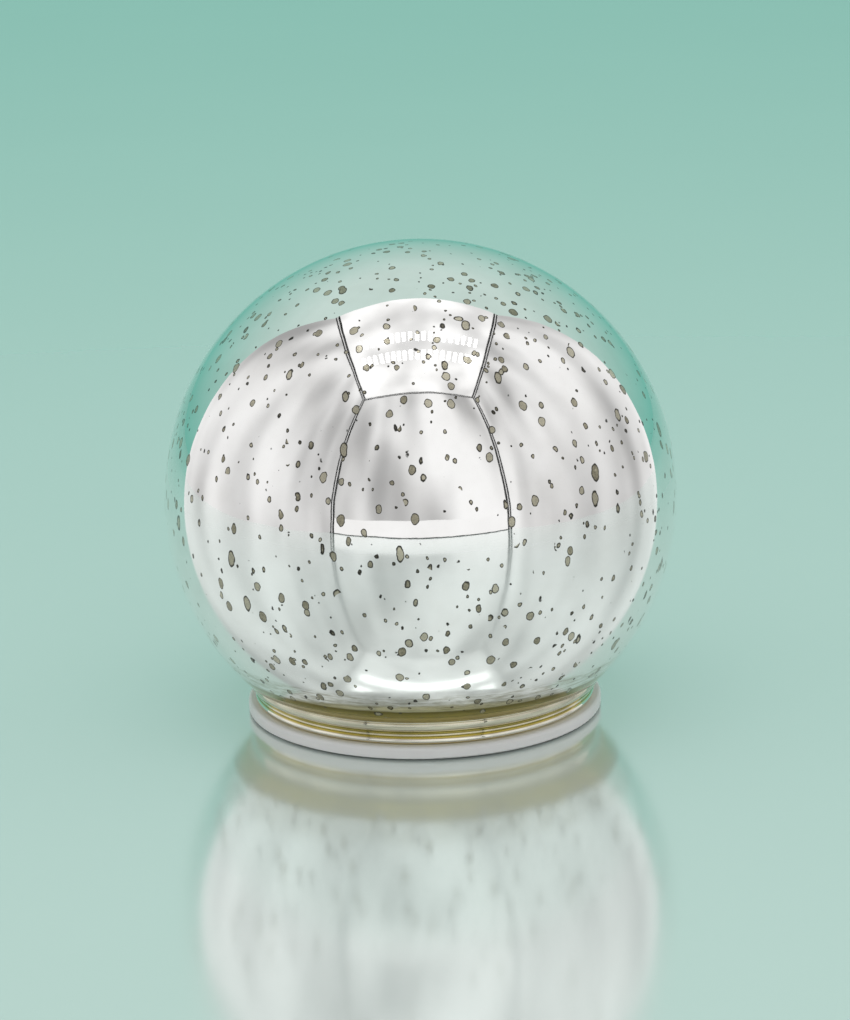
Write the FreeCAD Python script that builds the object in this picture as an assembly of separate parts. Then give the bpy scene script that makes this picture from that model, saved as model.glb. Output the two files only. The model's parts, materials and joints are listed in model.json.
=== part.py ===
"""Mirrored glass ball lamp: a blown, silvered globe pushed onto a round battery base.

Millimetres, +Z up. The origin is the centre of the plane that the lamp stands on.
Running the script writes one STEP file per sub-part to parts/.
"""

import FreeCAD, Part
import math
import os

from FreeCAD import Vector

# ---- driving dimensions ---------------------------------------------------------------------

BALL_R = 60.0  # outer radius of the globe
BALL_Z = 51.4  # height of the globe's centre
GLASS = 2.2  # wall of the globe
NECK_BORE_R = 37.0  # clear radius of the globe's neck
NECK_TOP_R = 42.85  # radius where the ball turns into the neck

PAD_PROUD = 0.4  # how far the foot pads stand out of the base
FLANGE_R = 42.0
FLANGE_T = 2.8
FLANGE_Z = PAD_PROUD  # underside of the base
FLANGE_TOP = FLANGE_Z + FLANGE_T
LIP_GAP = 0.05  # between the glass lip and the base

COLLAR_R = 36.0  # plug of the base, inside the glass neck
COLLAR_WALL = 1.8
COLLAR_IN_R = COLLAR_R - COLLAR_WALL
COLLAR_TOP = 8.0
SEAL_Z = (4.2, 6.2)  # groove of the rubber ring around the collar
SEAL_GROOVE_R = 35.2
SEAL_OUT_R = NECK_BORE_R - 0.1

CELL_R = 5.25  # AAA cell: radius over the sleeve
CELL_CAN_R = 4.95
CELL_CAN_L = 43.5
CELL_NUB = (1.9, 0.98)  # radius and length of the positive nub
CELL_PITCH = 11.2
CELL_Z = 8.75
CELL_COUNT = 3

BAY_X = 25.5  # half length of the battery bay, inside
BAY_Y = 17.25  # half width of the battery bay, inside
BAY_TOP = 14.3  # ceiling of the bay
BAY_WALL = 1.6

DOOR_T = 1.6
DOOR_GAP = 0.3
DOOR_LEDGE = 1.2  # ledge round the bay that the door shuts against
DOOR_END_X = 25.7  # the door's edge beside its hinge
SEAT_END_X = 26.5
HINGE_X = 28.0
HINGE_Z = 1.75
HINGE_REACH = 2.1  # from the hinge's axis to the end of its pocket, where the arms stop at 114 degrees
KNUCKLE_R = HINGE_Z - FLANGE_Z
KNUCKLE_Y = (8.0, 14.0)  # span of each knuckle along Y, both sides of the middle
PEG_R = 0.7
PEG_L = 1.1
PEG_FIT = 0.05
LATCH_W = 9.0  # width of the springy tongue
LATCH_X = (-30.6, -27.4)  # outer and inner faces of the tongue's loop
LATCH_TOP = 5.5
LATCH_WALL = 1.0

SWITCH_Y = -25.0
SWITCH_BODY = (13.0, 6.0, 5.0)  # length, width, height
SWITCH_TRAVEL = 2.0  # each way from the middle position
KNOB = (3.0, 2.2)  # section of the knob
KNOB_Z = (0.8, 6.2)

BOARD_T = 1.2
BOARD_X = 15.0
BOARD_Y = (-29.0, -20.0)
BOARD_Z = 9.1
BOARD_SCREW_X = 12.0
CHIP_XY = (-7.2, -26.0)

COVER_TOP = 20.0
COVER_T = 1.6
COVER_SCREW_XY = (19.0, 24.0)
PIN_XS = (-3.0, -1.0, 1.0, 3.0)  # pins of the switch
PIN_R = 0.35

PAD_XY = 26.5
PAD_R = 3.2
PAD_RECESS = 0.6

DOME_R = 13.0
DOME_WALL = 1.2
DOME_FLANGE_R = 15.5
DOME_SEAT_Z = 19.4
DOME_SPRING_Z = 26.0  # where the dome's straight wall ends
LED_SEAT_Z = 21.0
LED_BOARD_R = 9.6
LED_RING_R = 5.2
LED_R = 1.5
LED_COUNT = 4

LEAD_R = 0.55
LEAD_BEND = 3.0
LEAD_Z = 17.1  # leads cross over the bay at this height
LEAD_Y = -21.3  # leads leave the control board here

CONTACT_T = 0.4
SPRING_WIRE_R = 0.3
SPRING_R = 2.9
SPRING_HALF_TURNS = 9

UP = Vector(0, 0, 1)


# ---- small helpers --------------------------------------------------------------------------


def box(x, y, z):
    """A box from its (low, high) pair along each axis."""
    size = [high - low for low, high in (x, y, z)]
    return Part.makeBox(*size, Vector(x[0], y[0], z[0]))


def centred(x, y, half_x, half_y, z):
    """A box centred on a point of the XY plane."""
    return box((x - half_x, x + half_x), (y - half_y, y + half_y), z)


def rod(x, y, radius, z):
    """An upright cylinder."""
    return Part.makeCylinder(radius, z[1] - z[0], Vector(x, y, z[0]))


def bar(axis, start, radius, length):
    """A cylinder along any axis."""
    return Part.makeCylinder(radius, length, Vector(*start), Vector(*axis))


def ring(inner, outer, z):
    """An upright tube."""
    return rod(0, 0, outer, z).cut(rod(0, 0, inner, z))


def outline(start, *steps):
    """A closed wire in the XZ plane.

    A step (x, z) is a line to that point. A step ((x, z), (x, z)) is an arc through the first
    point to the second.
    """
    edges = []
    here = Vector(start[0], 0, start[1])
    first = here
    for step in steps:
        if isinstance(step[0], tuple):
            through, end = (Vector(p[0], 0, p[1]) for p in step)
            edges.append(Part.Arc(here, through, end).toShape())
        else:
            end = Vector(step[0], 0, step[1])
            edges.append(Part.LineSegment(here, end).toShape())
        here = end
    if here.distanceToPoint(first) > 1e-6:
        edges.append(Part.LineSegment(here, first).toShape())
    return Part.Wire(edges)


def turned(start, *steps):
    """The solid that an outline in the XZ plane sweeps round the Z axis."""
    return Part.Face(outline(start, *steps)).revolve(Vector(0, 0, 0), UP, 360)


def extruded_y(wire, half_width):
    """An outline in the XZ plane, made solid both ways along Y."""
    wire.translate(Vector(0, -half_width, 0))
    return Part.Face(wire).extrude(Vector(0, 2 * half_width, 0))


def on_circle(centre_z, radius, degrees):
    """A point (x, z) of a circle about the Z axis, its angle measured up from level."""
    a = math.radians(degrees)
    return (radius * math.cos(a), centre_z + radius * math.sin(a))


def mirrored_x(shape):
    """A copy on the other side of the YZ plane."""
    return shape.mirror(Vector(0, 0, 0), Vector(1, 0, 0))


def rounded_upright(shape, radius):
    """Rounds a shape's upright edges."""
    edges = [e for e in shape.Edges if abs(abs(e.tangentAt(e.FirstParameter).z) - 1) < 1e-6]
    return shape.makeFillet(radius, edges)


def four(maker, x, y):
    """The four shapes that maker(x, y) gives in the four quadrants."""
    return [maker(sx * x, sy * y) for sx in (-1, 1) for sy in (-1, 1)]


# ---- globe ----------------------------------------------------------------------------------


def glass_globe():
    """Blown shell: a ball, then a short neck with a bead, a thin ridge between two grooves, and a lip."""
    inner_r = BALL_R - GLASS
    lip_z = FLANGE_TOP + LIP_GAP
    neck_top_z = BALL_Z - math.sqrt(BALL_R**2 - NECK_TOP_R**2)
    bore_top_z = BALL_Z - math.sqrt(inner_r**2 - NECK_BORE_R**2)
    return turned(
        (0, BALL_Z + BALL_R),
        (on_circle(BALL_Z, BALL_R, 20), (NECK_TOP_R, neck_top_z)),
        (41.50, 8.95),
        ((41.62, 7.70), (40.30, 6.32)),  # bead
        ((40.08, 6.08), (40.22, 5.84)),  # groove
        ((40.40, 5.60), (40.24, 5.32)),  # thin ridge
        ((39.98, 5.04), (40.10, 4.72)),  # second groove
        ((40.42, 4.15), (39.90, lip_z)),  # lip
        (NECK_BORE_R, lip_z),
        (NECK_BORE_R, bore_top_z),
        (on_circle(BALL_Z, inner_r, 20), (0, BALL_Z + inner_r)),
    )


# ---- base -----------------------------------------------------------------------------------


def knuckle_span(side, margin):
    """The Y range of one knuckle, widened by a margin at both ends."""
    low, high = sorted(side * y for y in KNUCKLE_Y)
    return (low - margin, high + margin)


def hinge_pocket(side):
    """Space in the base for one knuckle of the door, and for its arm as the door swings."""
    reach = (SEAT_END_X, HINGE_X + HINGE_REACH)
    return box(reach, knuckle_span(side, 0.25), (FLANGE_Z - 1, FLANGE_TOP + 0.3))


def hinge_housing(side):
    """Roof over one knuckle, inside the base."""
    reach = (BAY_X + 0.5, HINGE_X + HINGE_REACH + 0.9)
    return box(reach, knuckle_span(side, 2.0), (FLANGE_TOP - 0.5, FLANGE_TOP + 1.5))


def latch_pocket():
    """Space for the tongue: a slot through the flange, and a wider room above it for the catch."""
    half = LATCH_W / 2 + 0.6
    inner = -BAY_X - BAY_WALL
    slot = box((-31.7, inner), (-half, half), (FLANGE_Z - 1, FLANGE_TOP + 0.1))
    room = box((-32.2, inner), (-half, half), (FLANGE_TOP, LATCH_TOP + 0.3))
    return slot.fuse(room)


def latch_housing():
    """Walls and roof round the tongue's room, inside the base."""
    half = LATCH_W / 2 + 1.6
    return box((-33.2, -BAY_X - 0.5), (-half, half), (FLANGE_TOP - 0.5, LATCH_TOP + 1.2))


def base_plate():
    """Flange, collar, battery bay, hinge seats, switch well, screw seats and board posts."""
    edge, foot = 0.8, 0.4
    body = turned(
        (0, FLANGE_Z),
        (FLANGE_R - foot, FLANGE_Z),
        ((FLANGE_R - 0.12, FLANGE_Z + 0.12), (FLANGE_R, FLANGE_Z + foot)),
        (FLANGE_R, FLANGE_TOP - edge),
        ((FLANGE_R - 0.234, FLANGE_TOP - 0.234), (FLANGE_R - edge, FLANGE_TOP)),
        (COLLAR_R, FLANGE_TOP),
        (COLLAR_R, SEAL_Z[0]),
        (SEAL_GROOVE_R, SEAL_Z[0]),
        (SEAL_GROOVE_R, SEAL_Z[1]),
        (COLLAR_R, SEAL_Z[1]),
        (COLLAR_R, COLLAR_TOP),
        (COLLAR_IN_R, COLLAR_TOP),
        (COLLAR_IN_R, FLANGE_TOP),
        (0, FLANGE_TOP),
    )
    bay = centred(0, 0, BAY_X + BAY_WALL, BAY_Y + BAY_WALL, (FLANGE_TOP - 0.5, BAY_TOP + BAY_WALL))
    body = body.fuse([bay, hinge_housing(1), hinge_housing(-1), latch_housing()])
    for x in (-BOARD_SCREW_X, BOARD_SCREW_X):
        body = body.fuse(rod(x, SWITCH_Y, 2.2, (FLANGE_TOP - 0.5, BOARD_Z)))
        body = body.cut(rod(x, SWITCH_Y, 0.9, (FLANGE_TOP + 0.6, BOARD_Z + 1)))
    body = body.cut(centred(0, 0, BAY_X, BAY_Y, (FLANGE_Z - 1, BAY_TOP)))
    body = body.fuse(bay_ribs())
    body = body.cut(door_recess())
    body = body.cut([hinge_pocket(1), hinge_pocket(-1), latch_pocket(), finger_scoop()])
    body = body.cut(peg_holes())
    body = body.cut(switch_well())
    body = body.cut(contact_slots())
    recess = (0, FLANGE_Z + PAD_RECESS)
    body = body.cut(four(lambda x, y: rod(x, y, PAD_R + 0.1, recess), PAD_XY, PAD_XY))
    screw_x, screw_y = COVER_SCREW_XY
    body = body.cut(four(lambda x, y: rod(x, y, 2.7, (0, FLANGE_Z + 1.8)), screw_x, screw_y))
    body = body.cut(four(lambda x, y: rod(x, y, 1.3, (0, FLANGE_TOP + 1)), screw_x, screw_y))
    return body.fuse(switch_marks()).removeSplitter()


def bay_ribs():
    """Ribs on the bay's ceiling, between the cells."""
    half = CELL_PITCH / 2
    return [centred(0, y, 18.0, 0.5, (11.2, BAY_TOP + 0.2)) for y in (-half, half)]


def door_recess():
    """Seat of the door in the base's underside, and the passage from it to the latch."""
    depth = (FLANGE_Z - 1, FLANGE_Z + DOOR_T + 0.05)
    half_y = BAY_Y + DOOR_LEDGE
    seat = box((-BAY_X - DOOR_LEDGE, SEAT_END_X), (-half_y, half_y), depth)
    half = LATCH_W / 2 + 0.6
    passage = box((-BAY_X - BAY_WALL - 0.1, -BAY_X - DOOR_LEDGE + 0.1), (-half, half), depth)
    return [seat, passage]


def finger_scoop():
    """Shallow hollow beside the latch, so that a finger can press it."""
    hollow = box((-37.0, -31.0), (-6.5, 6.5), (FLANGE_Z - 1, FLANGE_Z + 1.2))
    return rounded_upright(hollow, 2.0)


def peg_holes():
    """Bearings of the door's pegs, on each side of both knuckles."""
    length = KNUCKLE_Y[1] - KNUCKLE_Y[0] + 2 * PEG_L + 0.2
    centre = (KNUCKLE_Y[0] + KNUCKLE_Y[1]) / 2
    starts = [(HINGE_X, side * centre - length / 2, HINGE_Z) for side in (-1, 1)]
    return [bar((0, 1, 0), start, PEG_R + PEG_FIT, length) for start in starts]


def switch_well():
    """Finger recess in the underside, and the slot that the knob slides in."""
    well = rounded_upright(centred(0, SWITCH_Y, 8.0, 4.2, (FLANGE_Z - 1, FLANGE_Z + 1.2)), 1.5)
    half_slot = KNOB[0] / 2 + SWITCH_TRAVEL + 0.4
    slot = centred(0, SWITCH_Y, half_slot, KNOB[1] / 2 + 0.2, (FLANGE_Z, FLANGE_TOP + 0.5))
    return [well, slot]


def switch_marks():
    """Raised marks in the well for the three positions: a bar, a ring and a dot."""
    floor = (FLANGE_Z + 0.95, FLANGE_Z + 1.4)
    y = SWITCH_Y - 2.8
    bar_mark = centred(-SWITCH_TRAVEL * 2, y, 0.2, 0.8, floor)
    ring_mark = rod(0, y, 0.8, floor).cut(rod(0, y, 0.45, floor))
    dot_mark = rod(SWITCH_TRAVEL * 2, y, 0.5, floor)
    return [bar_mark, ring_mark, dot_mark]


def contact_slots():
    """Slots in the bay's end walls that the two solder tabs pass through."""
    left = centred(-BAY_X - BAY_WALL / 2, -CELL_PITCH, BAY_WALL, 1.3, (11.6, 12.4))
    right = centred(BAY_X + BAY_WALL / 2, CELL_PITCH, BAY_WALL, 1.3, (11.6, 12.4))
    return [left, right]


def neck_seal():
    """Rubber ring round the collar that grips the glass neck."""
    low, high = SEAL_Z[0] + 0.05, SEAL_Z[1] - 0.05
    inner = SEAL_GROOVE_R + 0.02
    shoulder = COLLAR_R + 0.2
    return turned(
        (inner, low),
        (shoulder, low),
        ((SEAL_OUT_R, (low + high) / 2), (shoulder, high)),
        (inner, high),
    )


def foot_pads():
    """Four soft discs under the base."""

    def pad(x, y):
        disc = rod(x, y, PAD_R, (0, PAD_PROUD + PAD_RECESS - 0.02))
        return disc.makeFillet(0.15, [e for e in disc.Edges if e.BoundBox.ZMax < 0.01])

    return Part.makeCompound(four(pad, PAD_XY, PAD_XY))


def base_cover():
    """Cap over the electronics: locating lip, screw posts, seats of the dome and the LED board."""
    edge = 3.0
    soft = edge * (1 - math.sqrt(0.5))
    under = COVER_TOP - COVER_T
    body = turned(
        (0, COVER_TOP),
        (COLLAR_R - edge, COVER_TOP),
        ((COLLAR_R - soft, COVER_TOP - soft), (COLLAR_R, COVER_TOP - edge)),
        (COLLAR_R, COLLAR_TOP + 0.05),
        (COLLAR_IN_R - 0.1, COLLAR_TOP + 0.05),
        (COLLAR_IN_R - 0.1, COLLAR_TOP - 1.2),
        (COLLAR_IN_R - 1.1, COLLAR_TOP - 1.2),
        (COLLAR_IN_R - 1.1, COLLAR_TOP + 1.2),
        (COLLAR_IN_R, COLLAR_TOP + 2.3),
        (COLLAR_IN_R, under - 1.5),
        ((COLLAR_IN_R - 0.44, under - 0.44), (COLLAR_IN_R - 1.5, under)),
        (0, under),
    )
    body = body.cut(rod(0, 0, DOME_FLANGE_R + 0.2, (DOME_SEAT_Z, COVER_TOP + 1)))
    body = body.fuse(ring(LED_BOARD_R - 1.8, LED_BOARD_R - 0.2, (DOME_SEAT_Z - 0.2, LED_SEAT_Z)))
    x, y = COVER_SCREW_XY
    body = body.fuse(four(lambda x, y: rod(x, y, 2.6, (FLANGE_TOP + 0.1, under + 0.5)), x, y))
    body = body.cut(four(lambda x, y: rod(x, y, 1.15, (0, under - 1.0)), x, y))
    return body.cut(rod(0, 0, 3.5, (under - 1, COVER_TOP + 1))).removeSplitter()


def pan_screw(x, y, head_z, tip_z, head_r, shank_r, up):
    """A pan-head screw with a cross recess. up is 1 where the head is on top, -1 where it is below."""
    head_h = head_r * 0.65
    face = head_z + up * head_h
    head = rod(x, y, head_r, sorted((head_z, face)))
    rim = [e for e in head.Edges if e.BoundBox.ZLength < 0.01 and abs(e.BoundBox.ZMin - face) < 0.01]
    head = head.makeFillet(head_h * 0.5, rim)
    shank = rod(x, y, shank_r, sorted((head_z + up * 0.1, tip_z)))
    deep = sorted((face - up * head_h * 0.55, face + up))
    long, wide = head_r * 0.55, head_r * 0.12
    cross = centred(x, y, long, wide, deep).fuse(centred(x, y, wide, long, deep))
    return head.cut(cross).fuse(shank)


def cover_screws():
    """Four screws, up through the base into the cover's posts."""
    screw_x, screw_y = COVER_SCREW_XY
    seat = FLANGE_Z + 1.8
    return Part.makeCompound(four(lambda x, y: pan_screw(x, y, seat, 15.0, 2.3, 1.1, -1), screw_x, screw_y))


# ---- battery door ---------------------------------------------------------------------------


def battery_door():
    """Flat door with two pegged knuckles at one end and a springy tongue at the other."""
    low, high = FLANGE_Z, FLANGE_Z + DOOR_T
    ends = (-BAY_X - DOOR_LEDGE + DOOR_GAP, DOOR_END_X)
    half = BAY_Y + DOOR_LEDGE - DOOR_GAP
    door = rounded_upright(box(ends, (-half, half), (low, high)), 0.6)
    for side in (-1, 1):
        start, end = knuckle_span(side, 0)
        door = door.fuse(box((ends[1] - 0.5, HINGE_X), (start, end), (low, high)))
        door = door.fuse(bar((0, 1, 0), (HINGE_X, start, HINGE_Z), KNUCKLE_R, end - start))
        door = door.fuse(bar((0, 1, 0), (HINGE_X, start - PEG_L, HINGE_Z), PEG_R, end - start + 2 * PEG_L))
    door = door.fuse(latch_tongue())
    return door.cut(grip_lines()).removeSplitter()


def latch_tongue():
    """Springy loop at the door's free end: up, over and down to a finger tip, with a small catch.

    It stands as it does when a finger presses it, with its catch just clear of the base.
    """
    low, high = FLANGE_Z, FLANGE_Z + DOOR_T
    far, near = LATCH_X
    middle = (near + far) / 2
    shoulder = LATCH_TOP - (near - far) / 2
    loop = outline(
        (near + 1.6, low),
        (near + 1.6, high),
        (near, high),
        (near, shoulder),
        ((middle, LATCH_TOP), (far, shoulder)),
        (far - 0.6, shoulder - 0.3),
        (far - 0.6, FLANGE_TOP + 0.15),
        (far, FLANGE_TOP + 0.15),
        (far, 1.9),
        (far - 0.8, 1.6),
        (far - 0.8, 0.7),
        (far + LATCH_WALL, 0.7),
        (far + LATCH_WALL, shoulder),
        ((middle, LATCH_TOP - LATCH_WALL), (near - LATCH_WALL, shoulder)),
        (near - LATCH_WALL, low),
    )
    return extruded_y(loop, LATCH_W / 2)


def grip_lines():
    """Three shallow lines across the door beside its tongue, for the thumb."""
    depth = (FLANGE_Z - 0.5, FLANGE_Z + 0.35)
    return [centred(x, 0, 0.4, 6.0, depth) for x in (-20.0, -18.2, -16.4)]


def door_pad():
    """Foam strip inside the door that keeps the cells quiet."""
    return box((-18, 18), (-14, 14), (FLANGE_Z + DOOR_T, CELL_Z - CELL_R - 0.3))


# ---- cells and contacts ---------------------------------------------------------------------


def cell_y(index):
    return (index - (CELL_COUNT - 1) / 2) * CELL_PITCH


def plus_side(index):
    """The end that a cell's nub points to: +X for the outer two cells, -X for the middle one."""
    return -1 if index % 2 else 1


def along_x(shape, index):
    """Places a shape drawn for a nub at +X at its cell's own end and row."""
    placed = shape if plus_side(index) > 0 else mirrored_x(shape)
    placed = placed.copy()
    placed.translate(Vector(0, cell_y(index), 0))
    return placed


NUB_TIP_X = BAY_X - CONTACT_T - 0.02
CAN_PLUS_X = NUB_TIP_X - CELL_NUB[1]
CAN_MINUS_X = CAN_PLUS_X - CELL_CAN_L


def cell_can(index):
    """Steel can with its nub."""
    can = bar((1, 0, 0), (CAN_MINUS_X, 0, CELL_Z), CELL_CAN_R, CELL_CAN_L)
    can = can.makeFillet(0.5, [e for e in can.Edges if e.BoundBox.XLength < 1e-3])
    nub = bar((1, 0, 0), (CAN_PLUS_X - 0.1, 0, CELL_Z), CELL_NUB[0], CELL_NUB[1] + 0.1)
    return along_x(can.fuse(nub), index)


def cell_sleeve(index):
    """Printed sleeve round the can, a little short of both ends."""
    length = CELL_CAN_L - 1.4
    start = (CAN_MINUS_X + 0.7, 0, CELL_Z)
    outer = bar((1, 0, 0), start, CELL_R, length)
    outer = outer.makeFillet(0.15, [e for e in outer.Edges if e.BoundBox.XLength < 1e-3])
    return along_x(outer.cut(bar((1, 0, 0), start, CELL_CAN_R + 0.02, length)), index)


def contact_spring(index):
    """Coil spring that presses on a cell's flat end, made of tilted half turns that run on tangent."""
    start = -BAY_X + CONTACT_T + SPRING_WIRE_R + 0.05
    end = CAN_MINUS_X - SPRING_WIRE_R - 0.05
    rise = (end - start) / SPRING_HALF_TURNS
    edges = []
    for k in range(SPRING_HALF_TURNS):
        side = -1 if k % 2 else 1
        near = Vector(start + k * rise, 0, side * SPRING_R)
        middle = Vector(start + (k + 0.5) * rise, side * math.hypot(SPRING_R, rise / 2), 0)
        far = Vector(start + (k + 1) * rise, 0, -side * SPRING_R)
        edges.append(Part.Arc(near, middle, far).toShape())
    section = Part.Circle(Vector(start, 0, SPRING_R), Vector(0, 1, 0), SPRING_WIRE_R).toShape()
    coil = Part.Wire(edges).makePipeShell([Part.Wire([section])], True, True)
    coil.translate(Vector(0, 0, CELL_Z))
    return along_x(coil, index)


def contact_blade(side, y_span):
    """Flat contact against an end wall of the bay, its corners rounded."""
    blade = box(sorted((side * BAY_X, side * (BAY_X - CONTACT_T))), y_span, (4.4, 13.2))
    corners = [e for e in blade.Edges if abs(abs(e.tangentAt(e.FirstParameter).x) - 1) < 1e-6]
    return blade.makeFillet(1.2, corners)


def terminal_contact(side, y):
    """Contact of one cell, with a solder tab that goes out through the end wall."""
    tab = box(sorted((side * (BAY_X - 0.1), side * (BAY_X + BAY_WALL + 2.2))), (y - 1, y + 1), (11.8, 12.2))
    return contact_blade(side, (y - 4, y + 4)).fuse(tab).removeSplitter()


def bridge_contact(side, first, second):
    """Contact that joins two neighbouring cells."""
    return contact_blade(side, (cell_y(first) - 4, cell_y(second) + 4))


# ---- electronics ----------------------------------------------------------------------------


def control_board():
    """Narrow board beside the bay, on two posts."""
    board = box((-BOARD_X, BOARD_X), BOARD_Y, (BOARD_Z, BOARD_Z + BOARD_T))
    board = rounded_upright(board, 1.0)
    through = (BOARD_Z - 1, BOARD_Z + 3)
    screw_holes = [rod(x, SWITCH_Y, 1.05, through) for x in (-BOARD_SCREW_X, BOARD_SCREW_X)]
    pin_holes = [rod(x, SWITCH_Y, PIN_R + 0.05, through) for x in PIN_XS]
    return board.cut(screw_holes + pin_holes)


def board_screws():
    """Two screws that hold the control board to its posts."""
    top = BOARD_Z + BOARD_T
    screws = [pan_screw(x, SWITCH_Y, top, 5.0, 1.8, 0.85, 1) for x in (-BOARD_SCREW_X, BOARD_SCREW_X)]
    return Part.makeCompound(screws)


def timer_chip():
    """Small plastic chip on the control board."""
    top = BOARD_Z + BOARD_T
    return centred(CHIP_XY[0], CHIP_XY[1], 2.5, 2.0, (top + 0.15, top + 1.6))


def chip_legs():
    """Eight legs of the chip, four a side."""
    top = BOARD_Z + BOARD_T
    legs = []
    for i in range(4):
        x = CHIP_XY[0] + 1.27 * (i - 1.5)
        for side in (-1, 1):
            y = CHIP_XY[1] + side * 2.5
            legs.append(centred(x, y, 0.2, 0.5, (top, top + 0.5)))
    return Part.makeCompound(legs)


def smoothing_capacitor():
    """Round can capacitor standing on the control board."""
    top = BOARD_Z + BOARD_T
    can = rod(6.6, -26.4, 2.0, (top + 0.02, top + 5.0))
    return can.makeFillet(0.3, can.Edges)


def chip_resistors():
    """Three small resistors in a row."""
    top = BOARD_Z + BOARD_T
    return Part.makeCompound([centred(x, -27.6, 0.8, 0.5, (top, top + 0.5)) for x in (-2.2, 0, 2.2)])


def switch_body():
    """Metal-cased slide switch under the board, hollow where its slider runs."""
    length, width, height = SWITCH_BODY
    low = FLANGE_TOP + 0.1
    case = centred(0, SWITCH_Y, length / 2, width / 2, (low, low + height))
    track = centred(0, SWITCH_Y, 5.0, 1.9, (low + 0.8, low + 3.4))
    slot = centred(0, SWITCH_Y, KNOB[0] / 2 + SWITCH_TRAVEL + 0.3, KNOB[1] / 2 + 0.15, (low - 1, low + 2))
    return case.cut([track, slot])


def switch_pins():
    """Four pins from the switch up into the board."""
    low = FLANGE_TOP + 0.1 + SWITCH_BODY[2]
    high = BOARD_Z + BOARD_T + 0.8
    return Part.makeCompound([rod(x, SWITCH_Y, PIN_R, (low, high)) for x in PIN_XS])


def switch_knob():
    """Knob with three finger ridges, and the slider block that it is part of."""
    half_x, half_y = KNOB[0] / 2, KNOB[1] / 2
    stem = centred(0, SWITCH_Y, half_x, half_y, KNOB_Z)
    block = centred(0, SWITCH_Y, 2.7, 1.6, (FLANGE_TOP + 1.2, KNOB_Z[1]))
    shallow = (KNOB_Z[0] - 1, KNOB_Z[0] + 0.35)
    grooves = [centred(x, SWITCH_Y, 0.22, half_y + 1, shallow) for x in (-0.75, 0, 0.75)]
    return stem.fuse(block).cut(grooves).removeSplitter()


def led_board():
    """Round board under the dome, with a hole for the two leads."""
    board = rod(0, 0, LED_BOARD_R, (LED_SEAT_Z + 0.02, LED_SEAT_Z + BOARD_T))
    return board.cut([rod(x, -1.0, 0.5, (LED_SEAT_Z - 1, LED_SEAT_Z + 3)) for x in (-1.2, 1.2)])


def led(index):
    """A 3 mm LED: collar, body and round nose."""
    angle = math.radians(45 + 360 / LED_COUNT * index)
    low = LED_SEAT_Z + BOARD_T + 0.02
    nose_z = low + 2.9
    lamp = turned(
        (0, low),
        (1.9, low),
        (1.9, low + 0.8),
        (LED_R, low + 0.8),
        (LED_R, nose_z),
        (on_circle(nose_z, LED_R, 45), (0, nose_z + LED_R)),
    )
    lamp.translate(Vector(LED_RING_R * math.cos(angle), LED_RING_R * math.sin(angle), 0))
    return lamp


def diffuser_dome():
    """Frosted cap over the LEDs."""
    inner = DOME_R - DOME_WALL
    low = DOME_SEAT_Z + 0.02
    return turned(
        (DOME_FLANGE_R, low),
        (DOME_FLANGE_R, low + 1.2),
        (DOME_R, low + 1.2),
        (DOME_R, DOME_SPRING_Z),
        (on_circle(DOME_SPRING_Z, DOME_R, 45), (0, DOME_SPRING_Z + DOME_R)),
        (0, DOME_SPRING_Z + inner),
        (on_circle(DOME_SPRING_Z, inner, 45), (inner, DOME_SPRING_Z)),
        (inner, low),
    )


def lead(*points):
    """An insulated wire: straight runs through the points, joined by tangent arcs."""
    points = [Vector(*p) for p in points]
    edges = []
    here = points[0]
    for before, corner, after in zip(points, points[1:], points[2:]):
        back = (before - corner).normalize()
        ahead = (after - corner).normalize()
        half = back.getAngle(ahead) / 2
        cut = LEAD_BEND / math.tan(half)
        start, end = corner + back * cut, corner + ahead * cut
        inward = (back + ahead).normalize()
        middle = corner + inward * (LEAD_BEND / math.sin(half) - LEAD_BEND)
        edges.append(Part.LineSegment(here, start).toShape())
        edges.append(Part.Arc(start, middle, end).toShape())
        here = end
    edges.append(Part.LineSegment(here, points[-1]).toShape())
    path = Part.Wire(edges)
    section = Part.Circle(points[0], points[1] - points[0], LEAD_R).toShape()
    tube = path.makePipeShell([Part.Wire([section])], True, True)
    expected = math.pi * LEAD_R**2 * path.Length
    print(f"lead: length {path.Length:.1f} mm, volume {tube.Volume:.2f} of {expected:.2f} mm3")
    return tube


def battery_lead(side):
    """From a solder tab up and over the bay to the control board."""
    tab_x = side * (BAY_X + BAY_WALL + 1.2)
    board_x = side * 9.0
    return lead(
        (tab_x, side * CELL_PITCH, 12.25),
        (tab_x, side * CELL_PITCH, LEAD_Z),
        (board_x, LEAD_Y, LEAD_Z),
        (board_x, LEAD_Y, BOARD_Z + BOARD_T + 0.05),
    )


def led_lead(side):
    """From the control board over the bay, and up through the cover to the LED board."""
    x = side * 1.2
    return lead(
        (x, LEAD_Y, BOARD_Z + BOARD_T + 0.05),
        (x, LEAD_Y, LEAD_Z),
        (x, -1.0, LEAD_Z),
        (x, -1.0, LED_SEAT_Z - 0.02),
    )


# ---- the whole lamp -------------------------------------------------------------------------


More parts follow.
